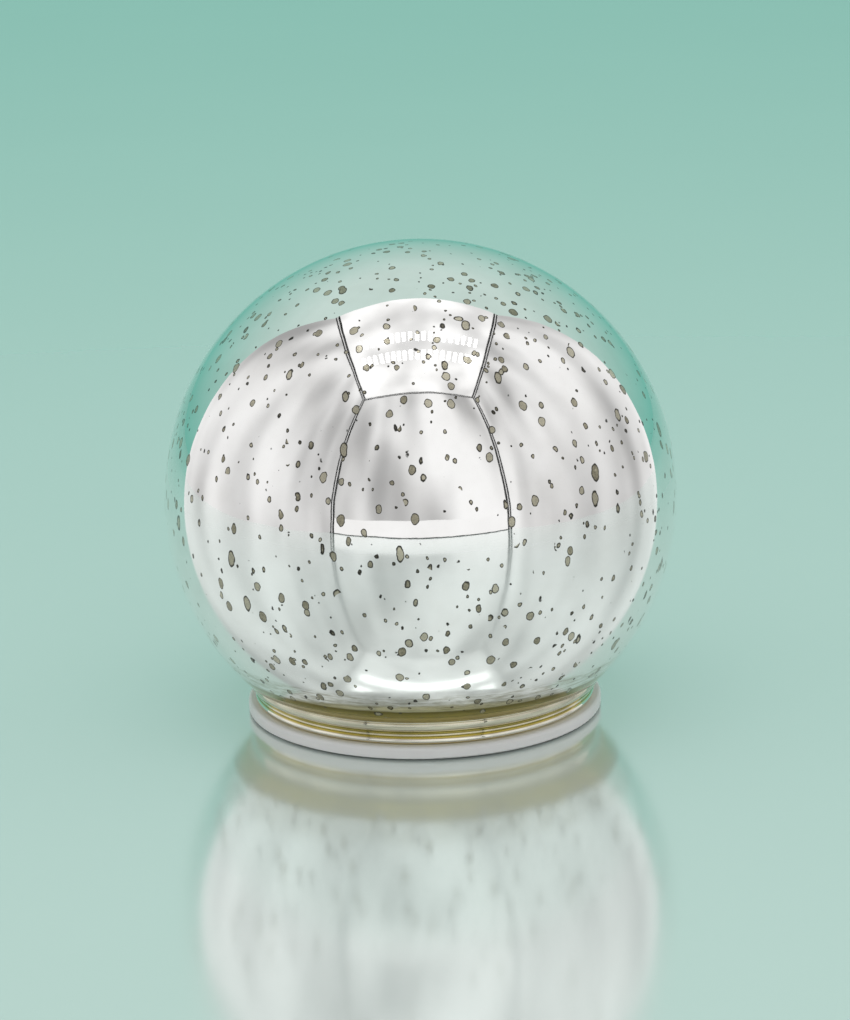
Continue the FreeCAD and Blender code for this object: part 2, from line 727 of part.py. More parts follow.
def assembly():
    parts = {
        "glass_globe": glass_globe(),
        "base_plate": base_plate(),
        "neck_seal": neck_seal(),
        "foot_pads": foot_pads(),
        "base_cover": base_cover(),
        "cover_screws": cover_screws(),
        "battery_door": battery_door(),
        "door_pad": door_pad(),
        "minus_contact": terminal_contact(-1, cell_y(0)),
        "plus_contact": terminal_contact(1, cell_y(2)),
        "bridge_contact_1": bridge_contact(1, 0, 1),
        "bridge_contact_2": bridge_contact(-1, 1, 2),
        "control_board": control_board(),
        "board_screws": board_screws(),
        "timer_chip": timer_chip(),
        "chip_legs": chip_legs(),
        "smoothing_capacitor": smoothing_capacitor(),
        "chip_resistors": chip_resistors(),
        "switch_body": switch_body(),
        "switch_pins": switch_pins(),
        "switch_knob": switch_knob(),
        "led_board": led_board(),
        "diffuser_dome": diffuser_dome(),
        "battery_lead_plus": battery_lead(1),
        "battery_lead_minus": battery_lead(-1),
        "led_lead_plus": led_lead(1),
        "led_lead_minus": led_lead(-1),
    }
    for i in range(CELL_COUNT):
        parts[f"cell_can_{i + 1}"] = cell_can(i)
        parts[f"cell_sleeve_{i + 1}"] = cell_sleeve(i)
        parts[f"contact_spring_{i + 1}"] = contact_spring(i)
    for i in range(LED_COUNT):
        parts[f"led_{i + 1}"] = led(i)
    return parts


def main():
    os.makedirs("parts", exist_ok=True)
    for name, shape in assembly().items():
        state = "ok" if shape.isValid() else "NOT VALID"
        print(f"{name:22s} {len(shape.Solids):2d} solids {shape.Volume:11.2f} mm3 {state}")
        shape.exportStep(f"parts/{name}.step")


main()
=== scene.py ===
import json
import math

import bmesh
import bpy
import numpy as np
from mathutils import Matrix, Vector, noise


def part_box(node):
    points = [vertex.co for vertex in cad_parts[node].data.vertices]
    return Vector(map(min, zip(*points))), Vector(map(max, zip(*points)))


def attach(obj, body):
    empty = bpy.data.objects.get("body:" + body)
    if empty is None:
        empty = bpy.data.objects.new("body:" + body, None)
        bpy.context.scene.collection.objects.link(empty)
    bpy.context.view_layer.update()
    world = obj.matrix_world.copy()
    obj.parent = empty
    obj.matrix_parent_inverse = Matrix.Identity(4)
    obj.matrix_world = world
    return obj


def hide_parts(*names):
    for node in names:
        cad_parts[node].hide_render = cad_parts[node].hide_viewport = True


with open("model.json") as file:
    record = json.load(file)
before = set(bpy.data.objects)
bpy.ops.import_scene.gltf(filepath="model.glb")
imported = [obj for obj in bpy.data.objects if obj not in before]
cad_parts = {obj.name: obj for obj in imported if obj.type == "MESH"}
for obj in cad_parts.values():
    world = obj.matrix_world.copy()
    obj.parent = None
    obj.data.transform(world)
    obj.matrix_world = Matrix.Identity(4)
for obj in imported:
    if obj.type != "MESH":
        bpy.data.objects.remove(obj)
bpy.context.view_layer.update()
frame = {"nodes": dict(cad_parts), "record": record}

# ---- sizes, in metres -----------------------------------------------------------------------

MM = 0.001
BALL_R = 60.0 * MM
BALL_Z = 51.4 * MM
GLASS = 2.2 * MM
NECK_BORE_R = 37.0 * MM
LIP_Z = 3.25 * MM
GLOBE_SEGMENTS = 240
OUTSIDE_POINTS = 200
INSIDE_POINTS = 110
NECK_POINTS_PER_SPAN = 5
SILVER_END_Z = 13.2 * MM  # below this the silvering gives way to a gold tint, with painted shade in the neck's grooves and under the ball
REFLECTION_STREAKS_END_Z = 17.6 * MM  # up to here dark streaks are painted into the silvering: a painted reflection of the table and camera
SPECK_END_Z = 11.5 * MM  # below this there are no specks

CELL_PITCH = 11.2 * MM
PAD_ROUND = 0.35 * MM  # radius of the foam pad's edges
PAD_STEP = 0.6 * MM
PAD_DENT = 0.22 * MM  # how far the three cells have marked the foam

FLOOR_REACH = 4.0
TENT_X = 0.62  # half the light tent's width
TENT_FRONT = -0.78
TENT_BACK = 0.44
TENT_TOP = 1.34
SEAM = 0.020
SEAM_INSET = 0.004
SKIRT = 0.10  # height of the paler strip along the foot of the tent's front
LAMP_ROWS = (-0.30, -0.08)
LAMPS_EACH_SIDE = 9
LAMP_PITCH = 0.052
LAMP_HALF = (0.012, 0.055)  # half a lamp bar's size along X and Y
LAMP_DROP = 0.01

CAMERA_DISTANCE = 0.700
CAMERA_ELEVATION = math.radians(14.3)
CAMERA_ROLL = math.radians(-1.2)
CAMERA_LENS = 105.1
AIM_RIGHT = 0.94 * MM
AIM_UP = -3.6 * MM

nodes = frame["nodes"]


# ---- node trees -----------------------------------------------------------------------------


class Graph:
    """A material and short ways to add to its node tree."""

    def __init__(self, name):
        self.material = bpy.data.materials.new(name)
        self.material.use_nodes = True
        self.tree = self.material.node_tree
        self.tree.nodes.clear()
        self.output = self.tree.nodes.new("ShaderNodeOutputMaterial")
        self.place = self.add("TexCoord").outputs["Object"]

    def add(self, kind, sockets=None, **settings):
        made = self.tree.nodes.new("ShaderNode" + kind)
        for key, value in settings.items():
            setattr(made, key, value)
        for key, value in (sockets or {}).items():
            self.feed(made.inputs[key], value)
        return made

    def feed(self, socket, value):
        if isinstance(value, bpy.types.NodeSocket):
            self.tree.links.new(value, socket)
        else:
            socket.default_value = value

    def surface(self, **sockets):
        """The Principled shader, its sockets named with _ for each space."""
        shader = self.add("BsdfPrincipled")
        for key, value in sockets.items():
            self.feed(shader.inputs[key.replace("_", " ")], value)
        self.tree.links.new(shader.outputs[0], self.output.inputs["Surface"])
        return shader

    def math(self, operation, a, b=0.0, clamp=False):
        made = self.add("Math", operation=operation, use_clamp=clamp)
        for socket, value in zip(made.inputs, (a, b)):
            self.feed(socket, value)
        return made.outputs[0]

    def scaled(self, scale, at=None):
        """The position, stretched along each axis."""
        made = self.add("VectorMath", operation="MULTIPLY")
        self.feed(made.inputs[0], at or self.place)
        made.inputs[1].default_value = scale
        return made.outputs[0]

    def moved(self, by, at=None):
        made = self.add("VectorMath", operation="ADD")
        self.feed(made.inputs[0], at or self.place)
        self.feed(made.inputs[1], by)
        return made.outputs[0]

    def noise(self, size, detail=3.0, roughness=0.55, at=None, colour=False):
        made = self.add("TexNoise", {"Scale": 1.0 / size, "Detail": detail, "Roughness": roughness})
        self.feed(made.inputs["Vector"], at or self.place)
        return made.outputs["Color" if colour else "Fac"]

    def cells(self, size, at=None):
        """Voronoi cells of about this size: the distance to the middle, in metres, and a random colour."""
        made = self.add("TexVoronoi", {"Scale": 1.0 / size})
        self.feed(made.inputs["Vector"], at or self.place)
        return self.math("MULTIPLY", made.outputs["Distance"], size), made.outputs["Color"]

    def axis(self, vector):
        """The three numbers of a vector or colour."""
        return self.add("SeparateXYZ", {0: vector}).outputs

    def band(self, value, low, high, soft):
        """1 between low and high, 0 outside, with soft edges."""
        up = self.step(value, low, soft)
        down = self.step(value, high, soft)
        return self.math("SUBTRACT", up, down, clamp=True)

    def step(self, value, edge, soft):
        """0 below the edge and 1 above it."""
        made = self.add("MapRange", {"Value": value, "From Min": edge - soft, "From Max": edge + soft})
        made.interpolation_type = "SMOOTHSTEP"
        return made.outputs["Result"]

    def ramp(self, value, stops):
        made = self.add("ValToRGB", {"Fac": value})
        ramp = made.color_ramp
        while len(ramp.elements) < len(stops):
            ramp.elements.new(0.5)
        for element, (position, colour) in zip(ramp.elements, stops):
            element.position = position
            element.color = (*colour, 1.0)
        return made.outputs["Color"]

    def mix(self, factor, a, b):
        made = self.add("Mix", data_type="RGBA")
        self.feed(made.inputs["Factor"], factor)
        self.feed(made.inputs["A"], a if isinstance(a, bpy.types.NodeSocket) else (*a, 1.0))
        self.feed(made.inputs["B"], b if isinstance(b, bpy.types.NodeSocket) else (*b, 1.0))
        return made.outputs["Result"]

    def between(self, factor, low, high):
        """A number that goes from low to high with the factor."""
        return self.add("MapRange", {"Value": factor, "To Min": low, "To Max": high}).outputs["Result"]

    def bump(self, height, depth, strength=1.0):
        made = self.add("Bump", {"Height": height, "Distance": depth, "Strength": strength})
        return made.outputs["Normal"]


# ---- materials ------------------------------------------------------------------------------


def speckles(g, at):
    """Bare specks in the silvering: how far a point is in a speck and in its middle, and a random shade."""
    wobble = g.add("VectorMath", operation="SCALE")
    g.feed(wobble.inputs[0], g.moved((-0.5, -0.5, -0.5), g.noise(2.0 * MM, 2.0, at=at, colour=True)))
    wobble.inputs["Scale"].default_value = 0.9 * MM
    bent = g.moved(wobble.outputs[0], at)
    crowd = g.noise(15.0 * MM, 2.0, at=at)
    layers = (
        # cell size, stretch of the position, largest radius, share of cells with a speck
        (3.5 * MM, (1.0, 1.0, 0.70), 1.05 * MM, 0.80),
        (2.3 * MM, (1.0, 1.0, 0.78), 0.52 * MM, 0.60),
        (4.4 * MM, (0.80, 0.62, 0.36), 0.92 * MM, 0.42),
        (4.8 * MM, (0.52, 0.85, 0.44), 0.75 * MM, 0.28),
    )
    speck = 0.0
    core = 0.0
    shade = 0.0
    for number, (size, stretch, radius, share) in enumerate(layers):
        shifted = g.moved((0.37 * number, 0.11 * number, 0.23 * number), g.scaled(stretch, bent))
        away, chance = g.cells(size, shifted)
        pick, grow, tone = g.axis(chance)
        local_share = g.math("MULTIPLY", g.between(crowd, 0.45, 1.55), share)
        here = g.math("LESS_THAN", pick, local_share)
        reach = g.math("MULTIPLY", g.between(grow, 0.45 * radius, radius), here)
        inside = g.math("SUBTRACT", reach, away)
        speck = g.math("MAXIMUM", speck, g.step(inside, 0.0, 0.04 * MM))
        middle = g.step(inside, 0.15 * MM, 0.07 * MM)
        core = g.math("MAXIMUM", core, middle)
        shade = g.math("MAXIMUM", shade, g.math("MULTIPLY", tone, middle))
    return speck, core, shade


NECK_TINTS_AND_GROOVE_SHADE = (
    # height in mm, tint of the mirror there; the dark olive stops at 4.8 to 5.2, 5.9 to 6.3 and 9.5 to 12.8
    # mm are painted shade in the grooves and under the ball
    (3.0, (0.80, 0.58, 0.02)),
    (3.5, (0.88, 0.66, 0.03)),
    (3.7, (0.90, 0.88, 0.84)),
    (4.5, (0.88, 0.86, 0.80)),
    (4.8, (0.40, 0.30, 0.02)),
    (5.2, (0.44, 0.35, 0.04)),
    (5.4, (0.78, 0.74, 0.62)),
    (5.7, (0.78, 0.74, 0.64)),
    (5.9, (0.30, 0.26, 0.04)),
    (6.3, (0.34, 0.28, 0.06)),
    (6.6, (0.66, 0.64, 0.56)),
    (9.0, (0.60, 0.58, 0.49)),
    (9.5, (0.32, 0.26, 0.05)),
    (11.4, (0.29, 0.22, 0.012)),
    (12.8, (0.15, 0.12, 0.018)),
    (13.6, (0.70, 0.68, 0.60)),
)


def silvered_glass(name, inside=False):
    """Mirror coating under glass, with bare specks ringed by painted shadow, a gold tint where the coating
    thins at the neck, painted shade in the neck's grooves and under the ball, and painted reflection streaks
    on the ball's underside above the tint.
    """
    g = Graph(name)
    height = g.axis(g.place)[2]
    speck, core, shade = speckles(g, g.place)
    on_ball = g.step(height, SPECK_END_Z, 1.0 * MM)
    speck = g.math("MULTIPLY", speck, on_ball)
    uneven = g.noise(9.0 * MM, 3.0, at=g.scaled((1, 1, 5)))
    fade_z = g.math("ADD", height, g.between(uneven, -0.5 * MM, 0.5 * MM))
    thin = g.math("SUBTRACT", 1.0, g.step(fade_z, SILVER_END_Z, 0.35 * MM))
    cloud = g.noise(14.0 * MM, 4.0, 0.6)
    silver_tints = (
        (0.30, (0.85, 0.84, 0.825)),
        (0.62, (0.93, 0.925, 0.915)),
        (0.80, (0.89, 0.88, 0.86)),
    )
    silver = g.ramp(cloud, silver_tints)
    low, high = NECK_TINTS_AND_GROOVE_SHADE[0][0], NECK_TINTS_AND_GROOVE_SHADE[-1][0]
    reach = {"Value": height, "From Min": low * MM, "From Max": high * MM}
    along = g.add("MapRange", reach).outputs["Result"]
    # The neck's gold tint is the coating's own colour; its darker olive bands in the grooves and under the
    # ball are painted shade.
    rings = g.ramp(along, [((z - low) / (high - low), tint) for z, tint in NECK_TINTS_AND_GROOVE_SHADE])
    streak = g.noise(4.0 * MM, 4.0, 0.65, at=g.scaled((1, 1, 16)))
    rings = g.mix(g.between(streak, 0.0, 0.35), rings, (0.55, 0.47, 0.16))
    # Dark horizontal streaks above the tinted neck: a painted reflection of the table and camera, darkening
    # the silver colour.
    reflection_streak_noise = g.noise(5.0 * MM, 5.0, 0.7, at=g.scaled((1, 1, 9)))
    reflection_streaks = g.ramp(reflection_streak_noise, ((0.42, (0, 0, 0)), (0.62, (1, 1, 1))))
    painted_reflection_streaks = g.math("MULTIPLY", reflection_streaks, g.band(height, SILVER_END_Z, REFLECTION_STREAKS_END_Z, 0.7 * MM))
    silver = g.mix(g.math("MULTIPLY", painted_reflection_streaks, 0.75), silver, (0.40, 0.38, 0.29))
    coat_colour = g.mix(thin, silver, rings)
    bare = g.mix(shade, (0.11, 0.10, 0.065), (0.47, 0.445, 0.36))
    mottle = g.noise(0.55 * MM, 3.0, 0.7)
    bare = g.mix(g.between(mottle, -0.35, 0.85), bare, (0.62, 0.56, 0.40))
    # Outside its middle each speck is near black: a painted shadow ring, as if cast through the glass's
    # thickness.
    colour = g.mix(speck, coat_colour, g.mix(core, (0.020, 0.018, 0.012), bare))
    grit = g.noise(6.0 * MM, 5.0, 0.7)
    rough = g.between(grit, 0.010, 0.045 if not inside else 0.30)
    rough = g.math("ADD", rough, g.math("MULTIPLY", speck, 0.16))
    wave = g.noise(21.0 * MM, 2.0, 0.45)
    ripple = g.math("ADD", wave, g.math("MULTIPLY", g.noise(3.2 * MM, 2.0), 0.035))
    g.surface(
        Base_Color=colour,
        Metallic=g.math("SUBTRACT", 1.0, g.math("MULTIPLY", speck, 0.25)),
        Roughness=rough,
        Normal=g.bump(ripple, 0.25 * MM, 0.35),
        Coat_Weight=0.0 if inside else 0.35,
        Coat_Roughness=0.015,
        Coat_IOR=1.5,
    )
    return g.material


def moulded(name, dark, light, rough, depth=0.012, see_through=0.0):
    """Moulded plastic or rubber: a faint mottle, and the fine texture of its mould."""
    g = Graph(name)
    mottle = g.noise(11.0 * MM, 4.0, 0.6)
    fine = g.noise(0.35 * MM, 3.0, 0.6)
    colour = g.mix(g.between(mottle, 0.1, 0.9), dark, light)
    colour = g.mix(g.between(fine, 0.0, 0.10), colour, dark)
    flow = g.noise(3.0 * MM, 3.0, at=g.scaled((1, 4, 1)))
    height = g.math("ADD", fine, g.math("MULTIPLY", flow, 0.5))
    shader = g.surface(
        Base_Color=colour,
        Roughness=g.between(mottle, *rough),
        Normal=g.bump(height, depth * MM, 0.8),
    )
    if see_through:
        shader.inputs["Subsurface Weight"].default_value = see_through
        shader.inputs["Subsurface Radius"].default_value = (1.0, 0.95, 0.9)
        shader.inputs["Subsurface Scale"].default_value = 1.2 * MM
    return g.material


def foam(name):
    """Open-celled foam, darker in each cell's pit: painted shade."""
    g = Graph(name)
    away = g.cells(0.55 * MM)[0]
    depth = g.math("DIVIDE", away, 0.45 * MM)
    # The colour darkens towards each cell's middle, where the pit is deepest: painted shade.
    colour = g.mix(depth, (0.012, 0.012, 0.013), (0.075, 0.075, 0.08))
    g.surface(Base_Color=colour, Roughness=0.95, Normal=g.bump(depth, 0.12 * MM, 1.0))
    return g.material


def plated(name, tint, stretch=(1, 1, 1), rough=(0.16, 0.34)):
    """Plated or rolled metal with fine drawing lines and dull patches."""
    g = Graph(name)
    lines = g.noise(0.5 * MM, 4.0, 0.65, at=g.scaled(stretch))
    patch = g.noise(2.4 * MM, 4.0, 0.7)
    dull = g.math("POWER", patch, 3.0)
    colour = g.mix(dull, tint, (0.30, 0.27, 0.22))
    roughness = g.math("ADD", g.between(lines, *rough), g.math("MULTIPLY", dull, 0.4))
    g.surface(Base_Color=colour, Metallic=1.0, Roughness=roughness, Normal=g.bump(lines, 0.02 * MM, 0.5))
    return g.material


def circuit_board(name, mask, copper, tracks=2.0):
    """Solder mask over copper tracks, on a board."""
    g = Graph(name)
    made = g.add("TexBrick", {"Scale": 1.0 / (tracks * MM), "Mortar Size": 0.09, "Mortar Smooth": 0.3})
    made.inputs["Brick Width"].default_value = 1.7
    made.inputs["Row Height"].default_value = 0.55
    g.feed(made.inputs["Vector"], g.place)
    track = g.math("SUBTRACT", 1.0, made.outputs["Fac"])
    haze = g.noise(1.5 * MM, 3.0)
    colour = g.mix(track, copper, mask)
    colour = g.mix(g.between(haze, 0.0, 0.25), colour, tuple(0.6 * c for c in mask))
    g.surface(
        Base_Color=colour,
        Roughness=g.between(haze, 0.18, 0.35),
        Normal=g.bump(track, 0.03 * MM, -0.6),
    )
    return g.material


def insulation(name, dark, light):
    """Drawn plastic insulation, slightly scuffed."""
    g = Graph(name)
    scuff = g.noise(0.8 * MM, 4.0, 0.7)
    colour = g.mix(scuff, dark, light)
    g.surface(Base_Color=colour, Roughness=g.between(scuff, 0.28, 0.5), Normal=g.bump(scuff, 0.02 * MM, 0.6))
    return g.material


def cell_wrap(name, plus):
    """Shrunk sleeve of a cell: dark blue, with a copper-coloured band at its plus end, +X or -X."""
    g = Graph(name)
    along = g.math("MULTIPLY", g.axis(g.place)[0], plus)
    band = g.band(along, 12.0 * MM, 21.5 * MM, 0.08 * MM)
    line = g.band(along, 10.9 * MM, 11.4 * MM, 0.05 * MM)
    wrinkle = g.noise(1.6 * MM, 3.0, at=g.scaled((0.4, 1, 1)))
    colour = g.mix(wrinkle, (0.018, 0.035, 0.075), (0.030, 0.055, 0.115))
    colour = g.mix(g.math("MAXIMUM", band, line), colour, (0.50, 0.24, 0.09))
    g.surface(
        Base_Color=colour,
        Metallic=g.math("MULTIPLY", band, 0.8),
        Roughness=g.between(wrinkle, 0.20, 0.36),
        Coat_Weight=0.5,
        Normal=g.bump(wrinkle, 0.03 * MM, 0.6),
    )
    return g.material


def led_resin(name):
    """Yellow phosphor in clear resin."""
    g = Graph(name)
    swirl = g.noise(0.9 * MM, 3.0)
    colour = g.mix(swirl, (0.82, 0.66, 0.22), (0.92, 0.84, 0.50))
    g.surface(
        Base_Color=colour,
        Roughness=g.between(swirl, 0.08, 0.2),
        Coat_Weight=0.8,
        Subsurface_Weight=0.4,
        Subsurface_Scale=0.6 * MM,
    )
    return g.material


# ---- mesh helpers ---------------------------------------------------------------------------


def arc(centre, radius, start, end, count):
    """Points (r, z) of a circle about a centre (r, z), from one angle to another, in degrees."""
    angles = np.radians(np.linspace(start, end, count))
    return [(centre[0] + radius * math.cos(a), centre[1] + radius * math.sin(a)) for a in angles]


def catmull_rom(a, b, c, d, t):
    """One coordinate of the curve from b to c, at t from 0 to 1."""
    square = 2 * a - 5 * b + 4 * c - d
    cube = 3 * b - a - 3 * c + d
    return 0.5 * (2 * b + (c - a) * t + square * t**2 + cube * t**3)


def smooth_curve(points, per_span):
    """A Catmull-Rom curve through the points (r, z)."""
    padded = [points[0], *points, points[-1]]
    made = []
    for p0, p1, p2, p3 in zip(padded, padded[1:], padded[2:], padded[3:]):
        for step in range(per_span):
            t = step / per_span
            made.append(tuple(catmull_rom(*coordinates, t) for coordinates in zip(p0, p1, p2, p3)))
    made.append(points[-1])
    return made


def lathe(name, profile, segments):
    """A mesh swept round Z from points (r, z). A point on the axis becomes one vertex."""
    mesh = bpy.data.meshes.new(name)
    made = bmesh.new()
    rings = []
    for r, z in profile:
        if r < 1e-7:
            rings.append([made.verts.new((0, 0, z))])
            continue
        turn = [2 * math.pi * k / segments for k in range(segments)]
        rings.append([made.verts.new((r * math.cos(a), r * math.sin(a), z)) for a in turn])
    for upper, lower in zip(rings, rings[1:]):
        for k in range(segments):
            after = (k + 1) % segments
            corners = []
            for ring, index in ((upper, k), (lower, k), (lower, after), (upper, after)):
                vertex = ring[index % len(ring)]
                if vertex not in corners:
                    corners.append(vertex)
            made.faces.new(corners)
    for face in made.faces:
        face.smooth = True
    bmesh.ops.recalc_face_normals(made, faces=made.faces)
    made.to_mesh(mesh)
    made.free()
    piece = bpy.data.objects.new(name, mesh)
    bpy.context.scene.collection.objects.link(piece)
    return piece


# ---- globe ----------------------------------------------------------------------------------


NECK = (
    # radius and height in mm: under the ball, bead, two fine grooves, lip
    (42.85, 9.40),
    (42.10, 9.16),
    (41.62, 9.02),
    (41.45, 8.80),
    (41.62, 8.40),
    (41.66, 7.80),
    (41.40, 7.15),
    (40.85, 6.62),
    (40.30, 6.32),
    (40.08, 6.08),
    (40.22, 5.84),
    (40.40, 5.60),
    (40.24, 5.32),
    (40.00, 5.04),
    (40.04, 4.80),
    (40.30, 4.50),
    (40.40, 4.10),
    (40.22, 3.66),
    (39.85, 3.36),
)


def globe_outline():
    """The glass's section: down the outside, round the lip, up the bore, and over the inside."""
    neck = smooth_curve([(r * MM, z * MM) for r, z in NECK], NECK_POINTS_PER_SPAN)
    neck_r, neck_z = neck[0]
    to_angle = math.degrees(math.atan2(neck_z - BALL_Z, neck_r))
    outside = arc((0, BALL_Z), BALL_R, 90, to_angle, OUTSIDE_POINTS)
    outside[0] = (0.0, BALL_Z + BALL_R)
    inner_r = BALL_R - GLASS
    bore_top = BALL_Z - math.sqrt(inner_r**2 - NECK_BORE_R**2)
    edge = 0.3 * MM
    bore = [
        (39.3 * MM, LIP_Z),
        (NECK_BORE_R + edge, LIP_Z),
        (NECK_BORE_R, LIP_Z + edge),
        (NECK_BORE_R, bore_top - edge),
    ]
    from_angle = math.degrees(math.atan2(bore_top - BALL_Z, NECK_BORE_R)) + 0.4
    inside = arc((0, BALL_Z), inner_r, from_angle, 90, INSIDE_POINTS)
    inside[-1] = (0.0, BALL_Z + inner_r)
    return outside + neck[1:] + bore + inside


def build_globe():
    globe = lathe("globe_glass", globe_outline(), GLOBE_SEGMENTS)
    globe.data.materials.append(silvered_glass("silvered_glass"))
    globe.data.materials.append(silvered_glass("silvering_from_inside", inside=True))
    inner_r = BALL_R - 0.5 * GLASS
    for polygon in globe.data.polygons:
        middle = polygon.center
        deep = (middle - Vector((0, 0, BALL_Z))).length < inner_r
        if deep and (middle.xy.length < NECK_BORE_R + 0.2 * MM or middle.z > 9 * MM):
            polygon.material_index = 1
    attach(globe, "globe")
    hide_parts("glass_globe")


build_globe()


# ---- foam pad inside the battery door -------------------------------------------------------


def foam_block(name, low, high):
    """A block of foam with soft edges, an uneven skin, and a shallow groove under each cell."""
    counts = [max(4, round((high[i] - low[i]) / PAD_STEP)) for i in range(3)]
    mesh = bmesh.new()
    found = {}

    def corner(key):
        if key not in found:
            raw = Vector([low[i] + (high[i] - low[i]) * key[i] / counts[i] for i in range(3)])
            core = Vector([min(max(raw[i], low[i] + PAD_ROUND), high[i] - PAD_ROUND) for i in range(3)])
            out = raw - core
            if out.length > 0:
                raw = core + out.normalized() * PAD_ROUND
            if key[2] == counts[2]:
                near = min(abs(raw.y - lane * CELL_PITCH) for lane in (-1, 0, 1))
                pressed = math.exp(-((near / (2.4 * MM)) ** 2))
                raw.z -= PAD_DENT * pressed + 0.05 * MM * (1 + noise.noise(raw / (0.9 * MM)))
            found[key] = mesh.verts.new(raw)
        return found[key]

    for axis in range(3):
        u, v = [i for i in range(3) if i != axis]
        for end in (0, counts[axis]):
            for i in range(counts[u]):
                for j in range(counts[v]):
                    face = []
                    for du, dv in ((0, 0), (1, 0), (1, 1), (0, 1)):
                        key = [0, 0, 0]
                        key[axis], key[u], key[v] = end, i + du, j + dv
                        face.append(corner(tuple(key)))
                    mesh.faces.new(face)
    bmesh.ops.recalc_face_normals(mesh, faces=mesh.faces)
    data = bpy.data.meshes.new(name)
    mesh.to_mesh(data)
    mesh.free()
    data.shade_smooth()
    block = bpy.data.objects.new(name, data)
    bpy.context.scene.collection.objects.link(block)
    return block


def build_door_pad():
    pad = foam_block("door_foam", *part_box("door_pad"))
    pad.data.materials.append(foam("foam"))
    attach(pad, "door")
    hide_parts("door_pad")


build_door_pad()


# ---- CAD nodes that show --------------------------------------------------------------------

WHITE_PLASTIC = moulded(
    "white_plastic",
    (0.74, 0.735, 0.735),
    (0.85, 0.845, 0.845),
    rough=(0.30, 0.42),
    depth=0.006,
    see_through=0.25,
)
PAINT = {
    "white_plastic": WHITE_PLASTIC,
    "white_rubber": moulded("white_rubber", (0.50, 0.50, 0.48), (0.62, 0.62, 0.60), rough=(0.6, 0.75)),
    "foot_rubber": moulded("foot_rubber", (0.012, 0.012, 0.012), (0.03, 0.03, 0.03), rough=(0.65, 0.85)),
    "screw_steel": plated("screw_steel", (0.62, 0.62, 0.63)),
    "contact_plate": plated("contact_plate", (0.80, 0.78, 0.73), rough=(0.10, 0.25)),
    "circuit_board": circuit_board("circuit_board", (0.012, 0.10, 0.035), (0.03, 0.20, 0.06)),
    "white_circuit_board": circuit_board("white_circuit_board", (0.72, 0.73, 0.70), (0.60, 0.60, 0.55), 2.6),
    "chip_plastic": moulded("chip_plastic", (0.010, 0.010, 0.011), (0.022, 0.022, 0.024), rough=(0.45, 0.6)),
    "tinned_metal": plated("tinned_metal", (0.75, 0.75, 0.74), rough=(0.2, 0.4)),
    "capacitor_can": plated("capacitor_can", (0.74, 0.75, 0.77), stretch=(1, 1, 0.1), rough=(0.2, 0.35)),
    "switch_case": plated("switch_case", (0.60, 0.60, 0.60), stretch=(0.1, 1, 1), rough=(0.25, 0.42)),
    "knob_plastic": moulded("knob_plastic", (0.012, 0.012, 0.014), (0.030, 0.030, 0.033), rough=(0.40, 0.55)),
    "frosted_plastic": moulded(
        "frosted_plastic", (0.76, 0.76, 0.75), (0.85, 0.85, 0.83), rough=(0.5, 0.62), see_through=0.6
    ),
    "red_wire": insulation("red_wire", (0.30, 0.010, 0.010), (0.45, 0.025, 0.020)),
    "black_wire": insulation("black_wire", (0.008, 0.008, 0.008), (0.030, 0.030, 0.030)),
    "cell_steel": plated("cell_steel", (0.70, 0.70, 0.69), stretch=(0.1, 1, 1)),
    "led_resin": led_resin("led_resin"),
}

SLEEVES = {1: cell_wrap("cell_sleeve", 1), -1: cell_wrap("cell_sleeve_reversed", -1)}


def plus_end(sleeve):
    """Which way along X a cell points: its sleeve reaches further towards its plus end."""
    low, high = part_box(sleeve)
    return 1 if low.x + high.x > 0 else -1


def paint_nodes():
    """Gives each CAD node the material of its slot. Nodes that a piece above replaces keep their own."""
    slot_of = {row["node"]: row["material_slot"] for row in frame["record"]["subparts"]}
    for name, node in nodes.items():
        slot = slot_of[name]
        paint = SLEEVES[plus_end(name)] if slot == "cell_sleeve" else PAINT.get(slot)
        if paint:
            node.data.materials.clear()
            node.data.materials.append(paint)


paint_nodes()


# ---- stage: floor, light tent, world --------------------------------------------------------


def plane(name, corners, material):
    mesh = bpy.data.meshes.new(name)
    mesh.from_pydata([Vector(c) for c in corners], [], [tuple(range(len(corners)))])
    mesh.materials.append(material)
    made = bpy.data.objects.new(name, mesh)
    bpy.context.scene.collection.objects.link(made)
    return made


def floor_material():
    g = Graph("pale_floor")
    haze = g.noise(0.25, 4.0)
    fine = g.noise(0.004, 3.0)
    colour = g.mix(haze, (0.80, 0.86, 0.84), (0.84, 0.90, 0.88))
    g.surface(Base_Color=colour, Metallic=0.60, Roughness=g.between(fine, 0.10, 0.15))
    return g.material


def glow(name, strength, fold=0.0):
    """Lit white cloth: even light with soft folds."""
    g = Graph(name)
    hanging = g.noise(0.30, 1.5, 0.4, at=g.scaled((1, 1, 0.28)))
    soft = g.step(hanging, 0.47, 0.20)
    level = g.math("MULTIPLY", g.between(soft, 1.0 - fold, 1.0 + 0.4 * fold), strength)
    light = g.add("Emission", {"Color": (1.0, 1.0, 1.0, 1.0), "Strength": level})
    g.tree.links.new(light.outputs[0], g.output.inputs["Surface"])
    return g.material


def dark_cloth(name):
    g = Graph(name)
    weave = g.noise(0.002, 2.0)
    g.surface(Base_Color=g.mix(weave, (0.01, 0.01, 0.01), (0.03, 0.03, 0.03)), Roughness=0.9)
    return g.material


def only_in_reflections(thing):
    thing.visible_camera = False
    thing.visible_shadow = False
    return thing


def upright(name, start, end, low, high, material):
    """An upright panel between two points of the floor plan."""
    (ax, ay), (bx, by) = start, end
    return plane(name, [(ax, ay, low), (bx, by, low), (bx, by, high), (ax, ay, high)], material)


